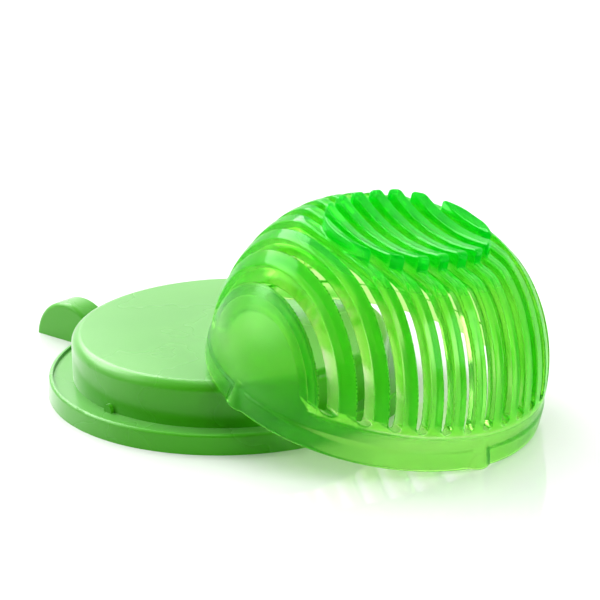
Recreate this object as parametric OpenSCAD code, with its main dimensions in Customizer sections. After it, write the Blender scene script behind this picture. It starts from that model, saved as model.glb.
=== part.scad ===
// Salad cutting bowl: slotted dome leaning upside down on its round cutting base.
// Millimetres. The origin is the base's centre on the table, z up.

/* [Base] */
// outer radius of the flange at its top edge
flange_r = 100; // [95:1:110]
// how much wider the flange is at the table than at its top edge
flange_draft = 0.6; // [0:0.1:3]
// height of the flange above the table
flange_h = 10.8; // [8:0.1:14]
// rounding of the flange's top edge
flange_round = 1.6; // [0.5:0.1:3]
// depth of the tray between the drum and the flange's lip
tray_depth = 1.6; // [0.5:0.1:3]
// width of the flange's lip
lip_w = 2.2; // [1.8:0.1:4]
// radius of the raised drum
drum_r = 86.8; // [84:0.1:89]
// height of the cutting top above the table
drum_h = 33.5; // [30:0.1:38]
// rounding of the drum's shoulder
drum_round = 5.2; // [2:0.1:7]
// thickness of the moulded base walls
base_wall = 3; // [2:0.1:4]
// radius of the solid hub under the cutting top
hub_r = 9; // [6:0.5:14]

/* [Nubs] */
// width of one bayonet nub
nub_w = 5.4; // [4:0.1:7]
// height of a nub above the tray
nub_h = 4.4; // [4:0.1:6]
// how far a nub stands out of the drum
nub_out = 2.2; // [1:0.1:2.4]
// direction of the first nub
nub_turn = 45; // [0:1:89]

/* [Grip] */
// radius of the half-round grip
grip_r = 25.4; // [22:0.2:28]
// how far the grip's middle lies below the table
grip_drop = 2.6; // [0:0.1:5]
// thickness of the grip
grip_w = 16.6; // [12:0.1:22]
// rounding of the grip's edges
grip_round = 2.4; // [1:0.1:4]
// how far the grip runs into the flange at the table
grip_sink = 4; // [2:0.1:6]
// direction of the grip
grip_turn = 140; // [100:1:180]

/* [Bowl] */
// gap round the drum when the bowl is locked on
fit_gap = 0.3; // [0.1:0.05:0.8]
// thickness of the plain wall
wall = 1.6; // [1.4:0.1:2.4]
// height of the bowl, rim to foot
bowl_h = 92.6; // [89:0.1:97]
// how far the foot stays below the top of a full dome
dome_cut = 10.2; // [8:0.1:14]
// height of the thicker rim band
band_h = 9.5; // [6:0.5:14]
// how far the rim band stands out of the wall
band_out = 0.9; // [0.4:0.1:2]
// height over which the rim band fades into the wall
band_fade = 2.5; // [1:0.5:5]
// rounding of the rim's outer edge
rim_round = 0.8; // [0.3:0.1:1.2]
// bevel of the rim's inner edge
rim_bevel = 1.2; // [0.3:0.1:1.4]

/* [Crown] */
// depth below the foot at which the crown starts to flatten
crown_start = 14.8; // [12:0.1:18]
// depth below the foot of the crown's middle crease
crown_mid = 8.6; // [8:0.1:10]
// how far the foot stands out of the crown
foot_step = 7.8; // [4:0.1:9]
// radius of the foot's round ends
foot_r = 38; // [35:0.5:41]
// how far the foot's round ends lie from its middle, across the slots
foot_stretch = 7; // [2:0.5:9]
// rounding of the foot's edge
foot_round = 2.4; // [0.5:0.1:3]
// depth of the hollow in the foot
dish_depth = 6.4; // [3:0.1:7]
// how far the round ends of the foot's hollow lie from the middle, across the slots
dish_stretch = 14; // [2:0.5:16]

/* [Fins and slots] */
// number of slots
slot_count = 13; // [9:2:15]
// distance from one slot to the next
slot_pitch = 11.9; // [10:0.1:12.2]
// width of a slot
slot_w = 5.5; // [4:0.1:7]
// height of the slots' round ends above the rim
slot_start = 21; // [18:0.5:24]
// depth of a fin inwards from the dome
fin_depth = 6.2; // [4:0.1:8]
// thickness of the fins under the middle of the foot
fin_foot = 5.8; // [3:0.1:8]
// solid edge left beyond the outer slots
edge_w = 2; // [1.5:0.1:6]
// direction across the slots
slot_turn = 69.5; // [50:0.5:80]

/* [Rim bulges] */
// how far a bulge stands out of the rim band
bulge_out = 2.4; // [2.2:0.1:3.4]
// radius of a bulge
bulge_r = 10; // [8:0.5:14]
// height at which a bulge fades into the wall
bulge_h = 15; // [10:0.5:18]
// direction of the bulges from the slots' normal
bulge_turn = 0; // [-10:1:10]

/* [How the bowl leans] */
// distance between the middles of base and bowl
lean_dist = 92.1; // [88:0.1:100]
// direction from the base to the bowl
lean_turn = -34.2; // [-60:0.1:-10]
// gap left between the bowl and the drum's shoulder
lean_gap = 0.1; // [0.05:0.05:0.5]

/* [Hidden] */
$fn = 96;

flange_foot = flange_r + flange_draft;
inner_r = drum_r + fit_gap;
dome_r = inner_r + wall;
rim_r = dome_r + band_out;

// A sphere on the bowl's axis is found from two points of the crown.
function centre_z(p, q) = (q[0] * q[0] + q[1] * q[1] - p[0] * p[0] - p[1] * p[1]) / (2 * (q[1] - p[1]));
function reach(p, c) = sqrt(p[0] * p[0] + (p[1] - c) * (p[1] - c));

dome_lift = max(bowl_h - dome_r + dome_cut, band_h + band_fade + 1);
start_h = bowl_h - crown_start;
start_r = sqrt(dome_r * dome_r - (start_h - dome_lift) * (start_h - dome_lift));
end_r = foot_r + 1;
mid_r = end_r + 0.57 * (start_r - end_r);
start_p = [start_r, start_h];
mid_p = [mid_r, bowl_h - max(crown_mid, foot_step + 0.6)];
end_p = [end_r, bowl_h - foot_step];
upper_c = centre_z(start_p, mid_p);
upper_r = reach(start_p, upper_c);
cap_c = centre_z(mid_p, end_p);
cap_r = reach(mid_p, cap_c);

dish_half = foot_r - 3;
dish_r = (dish_half * dish_half + dish_depth * dish_depth) / (2 * dish_depth);
dish_low = bowl_h - dish_depth;
ceiling_h = dish_low - fin_foot;
tray_h = flange_h - tray_depth;
fin_low = max(slot_start + slot_w / 2, drum_h - tray_h) + 0.4;
fins_half = (slot_count - 1) * slot_pitch / 2 + slot_w / 2 + edge_w;
bulge_tilt = atan((bulge_out + band_out + 0.3) / bulge_h);

// The tilt at which the rim just clears the drum's rounded shoulder.
bowl_x = lean_dist * cos(lean_turn);
bowl_y = lean_dist * sin(lean_turn);
shoulder_r = drum_r - drum_round;
function drum_top(q) = q <= shoulder_r ? drum_h : drum_h - drum_round
    + sqrt(max(0, drum_round * drum_round - (q - shoulder_r) * (q - shoulder_r)));
function rim_z(a, r, h, t) = (rim_r - rim_round - r * cos(a)) * sin(t) + h * cos(t);
function rim_off(a, r, h, t) = norm([lean_dist + r * cos(a) * cos(t) + h * sin(t), r * sin(a)]);
function clear(a, r, h, t) = rim_off(a, r, h, t) > drum_r ? 99
    : rim_z(a, r, h, t) - drum_top(rim_off(a, r, h, t));
function least(t) = min([for (a = [90:0.5:180]) min(
    clear(a, rim_r - rim_round, 0, t),
    clear(a, inner_r + rim_bevel, 0, t),
    clear(a, inner_r, rim_bevel, t)
)]);
function lean(lo, hi, n) = n == 0 ? hi : least((lo + hi) / 2) < lean_gap
    ? lean((lo + hi) / 2, hi, n - 1) : lean(lo, (lo + hi) / 2, n - 1);
steepest = 30;
tilt = lean(2, steepest, 18);
lift = max(
    (rim_r - rim_round) * sin(tilt),
    (rim_r - 0.3 * rim_round) * sin(tilt) - 0.3 * rim_round * cos(tilt),
    rim_r * sin(tilt) - rim_round * cos(tilt)
);

module round_post(r, h, e) {
    rotate_extrude() union() {
        square([r - e, h]);
        square([r, h - e]);
        translate([r - e, h - e]) intersection() {
            circle(e);
            square([e + 1, e + 1]);
        }
    }
}

module grip() {
    rotate([0, 0, grip_turn])
    translate([flange_foot - grip_sink + grip_r, grip_w / 2, -grip_drop])
    rotate([90, 0, 0])
    intersection() {
        union() {
            translate([0, 0, grip_w / 2]) round_post(grip_r, grip_w / 2, grip_round);
            translate([0, 0, grip_w / 2]) mirror([0, 0, 1]) round_post(grip_r, grip_w / 2, grip_round);
        }
        translate([-2 * grip_r, grip_drop, -1]) cube([4 * grip_r, 2 * grip_r, grip_w + 2]);
    }
}

module nub() {
    translate([drum_r - 2, -nub_w / 2, tray_h - 1])
        cube([nub_out + 2, nub_w, nub_h - nub_w / 2 + 1]);
    translate([drum_r - 2, 0, tray_h + nub_h - nub_w / 2]) rotate([0, 90, 0])
        cylinder(r = nub_w / 2, h = nub_out + 2);
}

module base_profile() {
    polygon([[0, 0], [flange_foot, 0], [flange_r, flange_h - flange_round], [0, flange_h - flange_round]]);
    square([flange_r - flange_round, flange_h]);
    translate([flange_r - flange_round, flange_h - flange_round]) circle(flange_round);
}

module cutting_base() {
    color([0.43, 0.74, 0.3])
    difference() {
        union() {
            difference() {
                rotate_extrude() base_profile();
                translate([0, 0, tray_h]) cylinder(r = flange_r - lip_w, h = flange_h);
            }
            round_post(drum_r, drum_h, drum_round);
            for (i = [0:3]) rotate([0, 0, nub_turn + 90 * i]) nub();
            grip();
        }
        rotate_extrude() translate([hub_r, -1])
            square([drum_r - base_wall - hub_r, drum_h - base_wall + 1]);
        rotate_extrude() translate([hub_r, -1])
            square([flange_r - base_wall - hub_r, tray_h - base_wall + 1]);
    }
}

module crown(inset) {
    intersection() {
        translate([0, 0, dome_lift]) sphere(r = dome_r - inset);
        translate([0, 0, upper_c]) sphere(r = upper_r - inset);
        translate([0, 0, cap_c]) sphere(r = cap_r - inset);
    }
}

module outer_body() {
    rotate_extrude() polygon([
        [0, 0], [rim_r - rim_round, 0], [rim_r - 0.3 * rim_round, 0.3 * rim_round],
        [rim_r, rim_round], [rim_r - 0.2, band_h], [dome_r, band_h + band_fade], [0, band_h + band_fade]
    ]);
    cylinder(r = dome_r, h = dome_lift);
    intersection() {
        crown(0);
        translate([0, 0, dome_lift - 1]) cylinder(r = 2 * dome_r, h = bowl_h);
    }
    foot(bowl_h - ceiling_h - 1, foot_round);
}

module foot(h, e) {
    translate([0, 0, bowl_h - h]) {
        for (s = [-1, 1]) translate([s * foot_stretch, 0, 0]) round_post(foot_r, h, e);
        translate([-foot_stretch, 0, 0]) rotate([90, 0, 90]) linear_extrude(2 * foot_stretch) union() {
            translate([-foot_r + e, 0]) square([2 * (foot_r - e), h]);
            translate([-foot_r, 0]) square([2 * foot_r, h - e]);
            for (s = [-1, 1]) translate([s * (foot_r - e), h - e]) circle(e);
        }
    }
}

module dish() {
    translate([0, 0, dish_low + dish_r]) {
        for (s = [-1, 1]) translate([s * dish_stretch, 0, 0]) sphere(r = dish_r);
        rotate([0, 90, 0]) cylinder(r = dish_r, h = 2 * dish_stretch, center = true);
    }
}

module bulge(inset) {
    for (i = [0:3]) rotate([0, 0, bulge_turn + 90 * i])
        translate([rim_r + bulge_out - bulge_r, 0, 0]) rotate([0, -bulge_tilt, 0])
        translate([0, 0, -6]) cylinder(r = bulge_r - inset, h = bulge_h + 6);
}

module cavity() {
    translate([0, 0, -1]) cylinder(r = inner_r, h = dome_lift + 1);
    translate([0, 0, -1]) cylinder(r1 = inner_r + rim_bevel + 1, r2 = inner_r, h = rim_bevel + 1);
    difference() {
        intersection() {
            crown(wall);
            translate([0, 0, dome_lift - 1]) cylinder(r = dome_r, h = ceiling_h - dome_lift + 1);
        }
        translate([-fins_half, -dome_r, fin_low]) cube([2 * fins_half, 2 * dome_r, bowl_h]);
    }
    intersection() {
        crown(fin_depth);
        translate([0, 0, fin_low - 1]) cylinder(r = dome_r, h = ceiling_h - fin_low + 1);
    }
}

module slots() {
    for (i = [0:slot_count - 1]) translate([(i - (slot_count - 1) / 2) * slot_pitch, 0, slot_start + slot_w / 2]) {
        translate([-slot_w / 2, -dome_r - 5, 0]) cube([slot_w, 2 * dome_r + 10, bowl_h]);
        translate([0, dome_r + 5, 0]) rotate([90, 0, 0]) cylinder(r = slot_w / 2, h = 2 * dome_r + 10);
    }
}

module bowl_upright() {
    rotate([0, 0, slot_turn])
    difference() {
        union() {
            outer_body();
            intersection() {
                bulge(0);
                cylinder(r = 2 * dome_r, h = bulge_h);
            }
        }
        cavity();
        translate([0, 0, -0.01]) intersection() {
            bulge(wall);
            translate([0, 0, -1]) cylinder(r = 2 * dome_r, h = bulge_h - 2);
        }
        slots();
        dish();
    }
}

module slotted_bowl() {
    color([0.15, 0.85, 0.1])
    translate([bowl_x, bowl_y, lift])
    rotate([0, 0, lean_turn])
    rotate([0, tilt, 0])
    bowl_upright();
}

cutting_base();
slotted_bowl();
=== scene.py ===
import math

import bpy
from mathutils import Matrix, Vector


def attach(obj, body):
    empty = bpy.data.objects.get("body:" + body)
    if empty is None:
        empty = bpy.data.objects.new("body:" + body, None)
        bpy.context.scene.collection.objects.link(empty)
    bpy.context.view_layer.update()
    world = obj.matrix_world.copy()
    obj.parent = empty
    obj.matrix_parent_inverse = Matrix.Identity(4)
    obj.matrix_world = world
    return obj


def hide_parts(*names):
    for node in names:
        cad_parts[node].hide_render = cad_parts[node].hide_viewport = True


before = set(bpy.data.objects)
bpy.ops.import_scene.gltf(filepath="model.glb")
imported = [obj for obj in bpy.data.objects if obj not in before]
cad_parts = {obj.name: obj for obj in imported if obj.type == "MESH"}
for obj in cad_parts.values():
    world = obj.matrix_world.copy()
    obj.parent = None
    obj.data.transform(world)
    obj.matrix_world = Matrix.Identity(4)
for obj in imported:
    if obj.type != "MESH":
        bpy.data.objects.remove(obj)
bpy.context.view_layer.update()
mm = 0.001


class Wire:
    # A socket of a node tree, so that sums of fields read as sums.
    def __init__(self, tree, socket):
        self.tree = tree
        self.socket = socket

    def math(self, operation, *others):
        values = {0: self}
        for place, other in enumerate(others, 1):
            values[place] = other
        return addNode(self.tree, "ShaderNodeMath", {"operation": operation}, values)

    def flip(self, operation, other):
        return addNode(self.tree, "ShaderNodeMath", {"operation": operation}, {0: other, 1: self})

    def __add__(self, other): return self.math("ADD", other)
    def __radd__(self, other): return self.flip("ADD", other)
    def __sub__(self, other): return self.math("SUBTRACT", other)
    def __rsub__(self, other): return self.flip("SUBTRACT", other)
    def __mul__(self, other): return self.math("MULTIPLY", other)
    def __truediv__(self, other): return self.math("DIVIDE", other)
    def __neg__(self): return self.math("MULTIPLY", -1.0)
    def __abs__(self): return self.math("ABSOLUTE")

    def least(self, other): return self.math("MINIMUM", other)
    def most(self, other): return self.math("MAXIMUM", other)
    def blendLeast(self, other, width): return self.math("SMOOTH_MIN", other, width)
    def blendMost(self, other, width): return self.math("SMOOTH_MAX", other, width)

    def out(self, name):
        return Wire(self.tree, self.socket.node.outputs[name])


def addNode(tree, kind, settings=None, values=None, output=0):
    node = tree.nodes.new(kind)
    for key, value in (settings or {}).items():
        setattr(node, key, value)
    for key, value in (values or {}).items():
        if isinstance(value, Wire):
            tree.links.new(value.socket, node.inputs[key])
        else:
            node.inputs[key].default_value = value
    return Wire(tree, node.outputs[output]) if len(node.outputs) else None


def length(a, b, c=0.0):
    total = a * a + b * b
    if isinstance(c, Wire):
        total = total + c * c
    return total.math("SQRT")


def ramp(value, start, end, low, high):
    # Smooth step of a value from one level to another.
    return addNode(value.tree, "ShaderNodeMapRange", {"interpolation_type": "SMOOTHSTEP"}, {
        0: value, 1: start, 2: end, 3: low, 4: high})


def split(point):
    parts = addNode(point.tree, "ShaderNodeSeparateXYZ", None, {0: point})
    return parts.out("X"), parts.out("Y"), parts.out("Z")


def openTree(name, sizes, inputs, outputs):
    tree = bpy.data.node_groups.new(name, "GeometryNodeTree")
    for key, kind in inputs.items():
        tree.interface.new_socket(key, in_out="INPUT", socket_type=kind)
    for key, value in sizes.items():
        socket = tree.interface.new_socket(key, in_out="INPUT", socket_type="NodeSocketFloat")
        socket.default_value = value
    for key, kind in outputs.items():
        tree.interface.new_socket(key, in_out="OUTPUT", socket_type=kind)
    start = tree.nodes.new("NodeGroupInput")
    return tree, {socket.name: Wire(tree, socket) for socket in start.outputs if socket.name}


def closeTree(tree, **results):
    end = tree.nodes.new("NodeGroupOutput")
    for key, wire in results.items():
        tree.links.new(wire.socket, end.inputs[key])


# The bowl upright on its rim, in metres: x across the slots, y along them.
bowl = {
    "innerRadius": 87.1 * mm, "wall": 1.6 * mm, "height": 92.6 * mm, "domeLift": 14.1 * mm,
    "bandHeight": 9.5 * mm, "bandOut": 0.9 * mm, "bandFade": 2.5 * mm,
    "crownStart": 14.8 * mm, "crownMid": 8.6 * mm,
    "footStep": 7.8 * mm, "footRadius": 38.0 * mm, "footStretch": 7.0 * mm, "footRounding": 4.5 * mm,
    "dishDepth": 6.4 * mm, "dishStretch": 14.0 * mm,
    "slots": 13.0, "slotPitch": 11.9 * mm, "slotWidth": 5.5 * mm, "slotStart": 21.0 * mm,
    "finDepth": 6.2 * mm, "finFoot": 5.8 * mm, "edgeWidth": 2.0 * mm, "finLow": 18.5 * mm,
    "bulgeOut": 2.4 * mm, "bulgeRadius": 10.0 * mm, "bulgeHeight": 15.0 * mm,
    "rimRounding": 1.8 * mm, "crestRounding": 0.8 * mm, "footCrestRounding": 2.2 * mm,
}
# The widths over which its shapes flow into each other, and what its crown and fins are worked out with.
flow = {
    "crown": 3 * mm, "cap": 2 * mm, "bulge": 1.2 * mm, "foot": 1.5 * mm, "dish": 1 * mm, "ceiling": 2 * mm,
    "finEnd": 1 * mm, "finRoot": 1.2 * mm, "finTop": 3 * mm, "pocket": 1 * mm,
    "finEndSlope": 0.8, "bulgeSink": 0.3 * mm, "crestLow": 14 * mm, "crestHigh": 7 * mm,
    "middleShare": 0.57, "capMargin": 1 * mm, "dishMargin": 3 * mm,
}
# How its skin is made from the distances, where the parts of the plastic start and end, and where the crests'
# painted highlight starts and is full.
skin = {
    "margin": 2 * mm, "voxel": 0.8 * mm, "fieldScale": 100, "triangles": 190000,
    "moves": 2, "moveStep": 0.05 * mm, "moveMost": 0.4 * mm, "steepLeast": 0.6, "normalStep": 0.15 * mm,
    "plainFade": 1.5 * mm, "thickLow": 17 * mm, "thickHigh": 6 * mm, "crestHighlightStart": 0.6, "crestHighlightFull": 0.9,
}
# How the bowl leans on the base, as the solids do.
lean = {
    "tilt": math.radians(13.766), "lift": 21.13 * mm, "distance": 92.1 * mm,
    "turn": math.radians(-34.2), "slotTurn": math.radians(69.5),
}
leanMatrix = (
    Matrix.Translation((lean["distance"] * math.cos(lean["turn"]),
                        lean["distance"] * math.sin(lean["turn"]), lean["lift"]))
    @ Matrix.Rotation(lean["turn"], 4, "Z")
    @ Matrix.Rotation(lean["tilt"], 4, "Y")
    @ Matrix.Rotation(lean["slotTurn"], 4, "Z")
)


def sphereThrough(first, second):
    # Centre height and radius of a sphere on the axis through two rim points.
    centre = (second[0] ** 2 + second[1] ** 2 - first[0] ** 2 - first[1] ** 2) / (2 * (second[1] - first[1]))
    return centre, math.hypot(first[0], first[1] - centre)


def crownSizes():
    domeRadius = bowl["innerRadius"] + bowl["wall"]
    startHeight = bowl["height"] - bowl["crownStart"]
    startRadius = math.sqrt(domeRadius ** 2 - (startHeight - bowl["domeLift"]) ** 2)
    endRadius = bowl["footRadius"] + flow["capMargin"]
    middle = (endRadius + flow["middleShare"] * (startRadius - endRadius), bowl["height"] - bowl["crownMid"])
    upper = sphereThrough((startRadius, startHeight), middle)
    cap = sphereThrough(middle, (endRadius, bowl["height"] - bowl["footStep"]))
    dishHalf = bowl["footRadius"] - flow["dishMargin"]
    dishRadius = (dishHalf ** 2 + bowl["dishDepth"] ** 2) / (2 * bowl["dishDepth"])
    return {
        "domeRadius": domeRadius, "upperCentre": upper[0], "upperRadius": upper[1],
        "capCentre": cap[0], "capRadius": cap[1], "dishRadius": dishRadius,
        "dishCentre": bowl["height"] - bowl["dishDepth"] + dishRadius,
        "ceiling": bowl["height"] - bowl["dishDepth"] - bowl["finFoot"],
        "finsHalf": (bowl["slots"] - 1) * bowl["slotPitch"] / 2 + bowl["slotWidth"] / 2 + bowl["edgeWidth"],
    }


bowlShape = {**bowl, **crownSizes()}


def bowlDistanceTree():
    # Distance from a point to the bowl's surface, below zero inside the plastic.
    tree, size = openTree("bowlDistance", bowlShape, {"Point": "NodeSocketVector"},
                          {"Distance": "NodeSocketFloat", "Slot": "NodeSocketFloat", "Fins": "NodeSocketFloat"})
    x, y, z = split(size["Point"])
    around = length(x, y)
    dome = length(around, (z - size["domeLift"]).most(0.0)) - size["domeRadius"]
    upper = length(around, z - size["upperCentre"]) - size["upperRadius"]
    cap = length(around, z - size["capCentre"]) - size["capRadius"]
    crown = dome.blendMost(upper, flow["crown"]).blendMost(cap, flow["cap"])

    # Rim band and the four bulges that the base's nubs go into.
    band = ramp(z, size["bandHeight"], size["bandHeight"] + size["bandFade"], size["bandOut"], 0.0)
    turn = y.math("ARCTAN2", x).math("WRAP", math.pi / 4, -math.pi / 4)
    fade = (size["bulgeOut"] + size["bandOut"] + flow["bulgeSink"]) / size["bulgeHeight"]
    post = around * turn.math("COSINE") - (size["domeRadius"] + size["bandOut"] + size["bulgeOut"]
                                           - size["bulgeRadius"]) + z * fade
    bulge = length(post, around * turn.math("SINE")) - size["bulgeRadius"]
    bulge = bulge.most(z - size["bulgeHeight"])

    # The foot and its hollow have round ends, pulled apart across the slots.
    footSide = length((abs(x) - size["footStretch"]).most(0.0), y) - size["footRadius"]
    foot = footSide.blendMost(z - size["height"], size["footRounding"])
    dish = size["dishRadius"] - length((abs(x) - size["dishStretch"]).most(0.0), y, z - size["dishCentre"])
    outside = (crown - band).blendLeast(bulge, flow["bulge"]).blendLeast(foot, flow["foot"])
    outside = outside.blendMost(dish, flow["dish"])

    # The hollow: a thin wall round the fins, which are deeper, slope away below and end under the foot.
    plain = (crown + size["wall"]).blendMost(z - size["ceiling"], flow["ceiling"])
    finEnd = size["finLow"] - z - (crown + size["wall"]) * flow["finEndSlope"]
    finBlock = (abs(x) - size["finsHalf"]).blendMost(finEnd, flow["finEnd"])
    hollow = plain.blendMost(-finBlock, flow["finRoot"])
    hollow = hollow.least((crown + size["finDepth"]).blendMost(z - size["ceiling"], flow["finTop"]))
    pocket = bulge + size["wall"]
    hollow = hollow.blendLeast(pocket, flow["pocket"])

    # Slots repeat across x, with round lower ends.
    last = (size["slots"] - 1) / 2
    index = (x / size["slotPitch"]).math("ROUND").most(-last).least(last)
    slot = length(x - index * size["slotPitch"],
                  (z - size["slotStart"] - size["slotWidth"] / 2).least(0.0)) - size["slotWidth"] / 2
    rounding = ramp(z, size["height"] - flow["crestLow"], size["height"] - flow["crestHigh"],
                    size["crestRounding"], size["footCrestRounding"])
    body = outside.most(-hollow).blendMost(-slot, rounding)
    body = body.blendMost(-z, size["rimRounding"])
    closeTree(tree, Distance=body, Slot=slot, Fins=finBlock)
    return tree


def finishSkin(tree, mesh, material):
    # Every tree that makes a piece ends in real geometry with its finish on it.
    mesh = addNode(tree, "GeometryNodeRealizeInstances", None, {"Geometry": mesh})
    mesh = addNode(tree, "GeometryNodeSetMaterial", None, {"Geometry": mesh, "Material": material})
    closeTree(tree, Geometry=mesh)


def callTree(tree, group, size, point):
    values = {"Point": point}
    for key in bowlShape:
        values[key] = size[key]
    return addNode(tree, "GeometryNodeGroup", {"node_tree": group}, values)


def vectorMath(a, operation, *others, output=0):
    values = {0: a}
    for place, other in enumerate(others, 1):
        values[3 if operation == "SCALE" else place] = other
    return addNode(a.tree, "ShaderNodeVectorMath", {"operation": operation}, values, output)


def slope(tree, group, size, point, step):
    # Slope of the distance at a point, from the four corners of a tetrahedron.
    total = None
    for corner in ((1, 1, 1), (1, -1, -1), (-1, 1, -1), (-1, -1, 1)):
        offset = tuple(step * side for side in corner)
        there = callTree(tree, group, size, vectorMath(point, "ADD", offset))
        part = addNode(tree, "ShaderNodeVectorMath", {"operation": "SCALE"}, {0: corner, 3: there})
        total = part if total is None else vectorMath(total, "ADD", part)
    return vectorMath(total, "SCALE", 1 / (4 * step))


def bowlTree(group, material):
    tree, size = openTree("slottedBowl", bowlShape, {}, {"Geometry": "NodeSocketGeometry"})
    reach = bowlShape["domeRadius"] + bowl["bandOut"] + bowl["bulgeOut"] + skin["margin"]
    low = (-reach, -reach, -skin["margin"])
    high = (reach, reach, bowl["height"] + skin["margin"])
    steps = [int((b - a) / skin["voxel"]) + 1 for a, b in zip(low, high)]
    place = addNode(tree, "GeometryNodeInputPosition")
    distance = callTree(tree, group, size, place)
    block = addNode(tree, "GeometryNodeVolumeCube", None, {
        "Density": 1 - distance * skin["fieldScale"], "Background": 0.0, "Min": low, "Max": high,
        "Resolution X": steps[0], "Resolution Y": steps[1], "Resolution Z": steps[2]})
    mesh = addNode(tree, "GeometryNodeVolumeToMesh", {"resolution_mode": "GRID"}, {
        "Volume": block, "Threshold": 1.0, "Adaptivity": 0.0})
    finishSkin(tree, mesh, material)
    return tree


def settleTree(group, material):
    # Moves each point onto the exact surface, marks the kinds of plastic and the outward-facing crests that get a
    # painted highlight, then leans the bowl with exact normals.
    tree, size = openTree("settleBowl", bowlShape, {"Geometry": "NodeSocketGeometry"},
                          {"Geometry": "NodeSocketGeometry"})
    mesh = size["Geometry"]
    for _ in range(skin["moves"]):
        place = addNode(tree, "GeometryNodeInputPosition")
        distance = callTree(tree, group, size, place)
        tilt = slope(tree, group, size, place, skin["moveStep"])
        steep = vectorMath(tilt, "DOT_PRODUCT", tilt, output=1).most(skin["steepLeast"])
        push = (-distance).most(-skin["moveMost"]).least(skin["moveMost"]) / steep
        mesh = addNode(tree, "GeometryNodeSetPosition", None, {
            "Geometry": mesh, "Offset": vectorMath(tilt, "SCALE", push)})
    mesh = addNode(tree, "GeometryNodeSetShadeSmooth", None, {0: mesh})
    place = addNode(tree, "GeometryNodeInputPosition")
    there = callTree(tree, group, size, place)
    plain = ramp(there.out("Fins"), -skin["plainFade"], skin["plainFade"], 0.0, 1.0)
    thick = ramp(split(place)[2], size["height"] - skin["thickLow"], size["height"] - skin["thickHigh"], 0.0, 1.0)
    facing = slope(tree, group, size, place, skin["normalStep"])
    outward = vectorMath(vectorMath(facing, "NORMALIZE"), "DOT_PRODUCT", vectorMath(place, "NORMALIZE"), output=1)
    # Painted highlight: outward-facing fin faces, away from the plain wall and the thick foot, are marked to be
    # made paler than their plastic. This stands in for the sheen that light gives them.
    crestHighlight = ramp(outward, skin["crestHighlightStart"], skin["crestHighlightFull"], 0.0, 1.0) * (1 - plain) * (1 - thick)
    mesh = storeField(tree, mesh, "plain", plain, "FLOAT")
    mesh = storeField(tree, mesh, "crestHighlight", crestHighlight, "FLOAT")
    mesh = storeField(tree, mesh, "thick", thick, "FLOAT")
    mesh = storeField(tree, mesh, "facing", facing, "FLOAT_VECTOR")
    turn = leanMatrix.to_euler()
    mesh = addNode(tree, "GeometryNodeTransform", None, {
        "Geometry": mesh, "Translation": leanMatrix.to_translation(), "Rotation": turn})
    stored = addNode(tree, "GeometryNodeInputNamedAttribute", {"data_type": "FLOAT_VECTOR"}, {"Name": "facing"})
    turned = addNode(tree, "ShaderNodeVectorRotate", {"rotation_type": "EULER_XYZ"}, {
        "Vector": stored, "Rotation": turn})
    mesh = addNode(tree, "GeometryNodeSetMeshNormal", {"mode": "FREE", "domain": "POINT"}, {
        "Mesh": mesh, "Custom Normal": vectorMath(turned, "NORMALIZE")})
    finishSkin(tree, mesh, material)
    return tree


def storeField(tree, mesh, name, value, kind):
    return addNode(tree, "GeometryNodeStoreNamedAttribute", {"data_type": kind, "domain": "POINT"}, {
        "Geometry": mesh, "Name": name, "Value": value})


def setTree(piece, tree, sizes):
    modifier = piece.modifiers.new(tree.name, "NODES")
    modifier.node_group = tree
    for item in tree.interface.items_tree:
        if item.item_type == "SOCKET" and item.in_out == "INPUT" and item.name in sizes:
            modifier[item.identifier] = sizes[item.name]


def newPiece(name, mesh=None):
    piece = bpy.data.objects.new(name, mesh or bpy.data.meshes.new(name))
    bpy.context.scene.collection.objects.link(piece)
    return piece


def bakePiece(piece, name):
    # Turns the evaluated piece into a plain mesh, with no modifiers left.
    graph = bpy.context.evaluated_depsgraph_get()
    graph.update()
    mesh = bpy.data.meshes.new_from_object(piece.evaluated_get(graph))
    mesh.name = name
    piece.modifiers.clear()
    piece.data = mesh


def makeBowl():
    group = bowlDistanceTree()
    material = bowlPlastic()
    piece = newPiece("slottedBowlShell")
    setTree(piece, bowlTree(group, material), bowlShape)
    bakePiece(piece, "bowlRaw")
    thin = piece.modifiers.new("thin", "DECIMATE")
    thin.ratio = min(1.0, skin["triangles"] / (2 * len(piece.data.polygons)))
    setTree(piece, settleTree(group, material), bowlShape)
    bakePiece(piece, "slottedBowlShell")
    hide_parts("slotted_bowl")
    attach(piece, "root")
    print("bowl made:", len(piece.data.vertices), "points")


def newMaterial(name):
    material = bpy.data.materials.new(name)
    material.use_nodes = True
    material.node_tree.nodes.clear()
    return material, material.node_tree


def finishMaterial(tree, surface):
    addNode(tree, "ShaderNodeOutputMaterial", None, {"Surface": surface})


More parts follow.
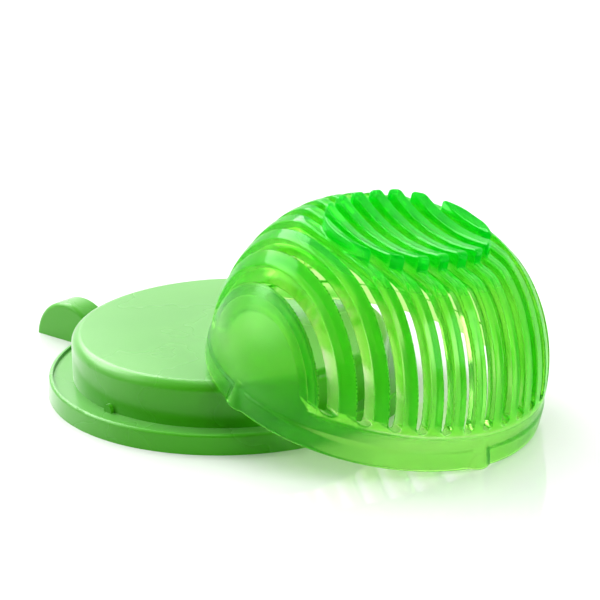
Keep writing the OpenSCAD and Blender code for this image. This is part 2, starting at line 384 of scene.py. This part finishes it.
# The clear green. The tint of its skin and what is lost in its depth make the colour; the thick foot and the fins
# are milkier than the plain wall, and the wall's skin is less clear. The fins' outward-facing crests are painted
# palest, a painted highlight standing in for the sheen that light gives them.
clearGreen = {
    "finSkin": (0.97, 0.93, 0.74, 1), "wallSkin": (0.72, 0.98, 0.44, 1), "footSkin": (0.30, 0.98, 0.34, 1),
    "depthTint": (0.58, 0.94, 0.32, 1), "depthDensity": 225.0,
    "index": 1.45, "sheen": (0.45, 1.0, 0.50, 1), "finRoughness": 0.13, "wallRoughness": 0.24,
    "waveScale": 60.0, "waveDetail": 1.0, "waveStrength": 0.12, "waveDepth": 2 * mm,
    "wallMilk": 0.06, "finMilk": 0.20, "crestHighlightMilk": 0.42, "footMilk": 0.30, "backShare": 0.4,
    # The colours of the crests' painted highlight: a pale milk that stands in for the sheen of light on them.
    "crestHighlightThrough": (1.0, 0.94, 0.46, 1), "crestHighlightBack": (0.03, 0.84, 0.02, 1),
    "finThrough": (0.10, 0.92, 0.05, 1), "finBack": (0.08, 0.88, 0.04, 1),
    "footThrough": (0.0, 0.98, 0.08, 1), "footBack": (0.0, 0.92, 0.08, 1),
}


def milkShader(tree, through, back):
    # Milky plastic: the light that comes through it, and a smaller share that it sends back.
    through = addNode(tree, "ShaderNodeBsdfTranslucent", None, {"Color": through})
    back = addNode(tree, "ShaderNodeBsdfDiffuse", None, {"Color": back})
    return mixShader(tree, clearGreen["backShare"], through, back)


def mixColor(tree, factor, first, second):
    return addNode(tree, "ShaderNodeMix", {"data_type": "RGBA"}, {0: factor, 6: first, 7: second}, 2)


def mixShader(tree, factor, first, second):
    return addNode(tree, "ShaderNodeMixShader", None, {0: factor, 1: first, 2: second})


def readField(tree, name):
    return addNode(tree, "ShaderNodeAttribute", {"attribute_name": name}, None, "Fac")


def noise(tree, place, scale, detail):
    return addNode(tree, "ShaderNodeTexNoise", None, {"Vector": place, "Scale": scale, "Detail": detail})


def bowlPlastic():
    look = clearGreen
    material, tree = newMaterial("bowlClearGreen")
    plain, thick, crestHighlight = [readField(tree, name) for name in ("plain", "thick", "crestHighlight")]
    place = addNode(tree, "ShaderNodeTexCoord", None, None, "Object")
    waves = noise(tree, place, look["waveScale"], look["waveDetail"])
    bump = addNode(tree, "ShaderNodeBump", None, {
        "Height": waves, "Strength": look["waveStrength"], "Distance": look["waveDepth"]})
    tint = mixColor(tree, plain, look["finSkin"], look["wallSkin"])
    tint = mixColor(tree, thick, tint, look["footSkin"])
    clear = addNode(tree, "ShaderNodeBsdfPrincipled", None, {
        "Base Color": tint, "IOR": look["index"], "Transmission Weight": 1.0,
        "Roughness": look["finRoughness"] + plain * (look["wallRoughness"] - look["finRoughness"]),
        "Specular Tint": look["sheen"], "Normal": bump})
    finMilk = milkShader(tree, look["finThrough"], look["finBack"])
    footMilk = milkShader(tree, look["footThrough"], look["footBack"])
    # The crests' milk is a painted highlight. It is paler and larger in share than the fins' own milk, standing
    # in for the sheen that light gives them.
    crestHighlightMilk = milkShader(tree, look["crestHighlightThrough"], look["crestHighlightBack"])
    milk = mixShader(tree, crestHighlight, mixShader(tree, thick, finMilk, footMilk), crestHighlightMilk)
    share = look["finMilk"] + crestHighlight * (look["crestHighlightMilk"] - look["finMilk"])
    share = share + plain * (look["wallMilk"] - look["finMilk"]) + thick * (look["footMilk"] - look["finMilk"])
    finishMaterial(tree, mixShader(tree, share, clear, milk))
    depth = addNode(tree, "ShaderNodeVolumeAbsorption", None, {
        "Color": look["depthTint"], "Density": look["depthDensity"]})
    tree.links.new(depth.socket, tree.nodes["Material Output"].inputs["Volume"])
    return material


# The satin green of the base, a little uneven as moulded plastic is.
satinGreen = {
    "deep": (0.048, 0.335, 0.003, 1), "pale": (0.070, 0.385, 0.006, 1), "patchScale": 14.0, "patchDetail": 3.0,
    "roughness": 0.28, "roughnessSwing": 0.16, "index": 1.5, "sheen": 0.8, "sheenRoughness": 0.35,
    "grainScale": 900.0, "grainDetail": 3.0, "grainStrength": 0.05, "grainDepth": 0.5 * mm,
}


def basePlastic():
    look = satinGreen
    material, tree = newMaterial("baseSatinGreen")
    place = addNode(tree, "ShaderNodeTexCoord", None, None, "Object")
    grain = noise(tree, place, look["grainScale"], look["grainDetail"])
    bump = addNode(tree, "ShaderNodeBump", None, {
        "Height": grain, "Strength": look["grainStrength"], "Distance": look["grainDepth"]})
    patches = noise(tree, place, look["patchScale"], look["patchDetail"])
    shader = addNode(tree, "ShaderNodeBsdfPrincipled", None, {
        "Base Color": mixColor(tree, patches, look["deep"], look["pale"]),
        "Roughness": look["roughness"] + (patches - 0.5) * look["roughnessSwing"], "IOR": look["index"],
        "Sheen Weight": look["sheen"], "Sheen Roughness": look["sheenRoughness"], "Normal": bump})
    finishMaterial(tree, shader)
    return material


def makeBase():
    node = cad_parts["cutting_base"]
    material = basePlastic()
    for slot in node.material_slots:
        slot.material = material
    if not node.material_slots:
        node.data.materials.append(material)
    print("base finished:", node.name)


# A white table in a white studio that is brightest behind and to the left of the object.
studio = {
    "floor": (0.72, 0.72, 0.72, 1), "floorHalf": 4.0, "gloss": 0.05, "index": 1.6,
    "glowAcross": -0.4, "glowBack": 0.85, "glowUp": 0.35, "glowStart": -0.75, "glowEnd": 0.55,
    "front": 0.08, "back": 1.2, "exposure": -0.25,
}


def makeStudio():
    half = studio["floorHalf"]
    corners = [(-half, -half, 0), (half, -half, 0), (half, half, 0), (-half, half, 0)]
    mesh = bpy.data.meshes.new("floor")
    mesh.from_pydata(corners, [], [(0, 1, 2, 3)])
    floor = newPiece("floor", mesh)
    material, tree = newMaterial("floorWhite")
    shader = addNode(tree, "ShaderNodeBsdfPrincipled", None, {
        "Base Color": studio["floor"], "Roughness": studio["gloss"], "IOR": studio["index"]})
    finishMaterial(tree, shader)
    mesh.materials.append(material)
    world = bpy.data.worlds.new("studio")
    world.use_nodes = True
    tree = world.node_tree
    tree.nodes.clear()
    x, y, z = split(addNode(tree, "ShaderNodeTexCoord", None, None, "Generated"))
    towards = x * studio["glowAcross"] + y * studio["glowBack"] + z * studio["glowUp"]
    glow = ramp(towards, studio["glowStart"], studio["glowEnd"], studio["front"], studio["back"])
    sky = addNode(tree, "ShaderNodeBackground", None, {"Color": (1, 1, 1, 1), "Strength": glow})
    addNode(tree, "ShaderNodeOutputWorld", None, {"Surface": sky})
    bpy.context.scene.world = world
    bpy.context.scene.view_settings.view_transform = "Standard"
    bpy.context.scene.view_settings.look = "Medium High Contrast"
    bpy.context.scene.view_settings.exposure = studio["exposure"]
    print("studio made")


# Places and sizes in metres, power in watts.
lights = {
    "softboxLeft": {"place": (-1.1, 0.0, 0.6), "target": (0.0, 0.0, 0.05), "size": (0.9, 0.8), "power": 4.5},
    "softboxRight": {"place": (0.85, -0.65, 0.45), "target": (0.05, 0.0, 0.05), "size": (1.0, 0.6), "power": 12},
    "softboxBack": {"place": (-0.7, 0.75, 0.9), "target": (0.05, 0.0, 0.08), "size": (1.5, 0.7), "power": 20},
    "softboxTop": {"place": (0.0, 0.2, 1.4), "target": (0.0, 0.0, 0.05), "size": (0.8, 0.8), "power": 2},
}


def addLight(name, place, target, size, power):
    lamp = bpy.data.lights.new(name, "AREA")
    lamp.shape = "RECTANGLE"
    lamp.size, lamp.size_y = size
    lamp.energy = power
    holder = bpy.data.objects.new(name, lamp)
    bpy.context.scene.collection.objects.link(holder)
    holder.location = place
    holder.rotation_euler = (Vector(target) - Vector(place)).to_track_quat("-Z", "Y").to_euler()


# The photograph's viewpoint, in metres and radians; the lens and its sensor in millimetres.
view = {
    "place": (0.0385, -1.04145, 0.40786), "down": 0.3329, "roll": 0.0169, "lens": 121.3, "sensor": 36.0,
    "near": 0.05, "far": 20,
}


def makeCamera():
    camera = bpy.data.cameras.new("camera")
    camera.lens = view["lens"]
    camera.sensor_width = view["sensor"]
    camera.clip_start, camera.clip_end = view["near"], view["far"]
    holder = bpy.data.objects.new("camera", camera)
    bpy.context.scene.collection.objects.link(holder)
    holder.matrix_world = (Matrix.Translation(view["place"])
                           @ Matrix.Rotation(math.pi / 2 - view["down"], 4, "X")
                           @ Matrix.Rotation(-view["roll"], 4, "Z"))
    bpy.context.scene.camera = holder
    print("camera set")


makeCamera()
makeStudio()
for name, light in lights.items():
    addLight(name, **light)
print("lights placed")
makeBase()
makeBowl()
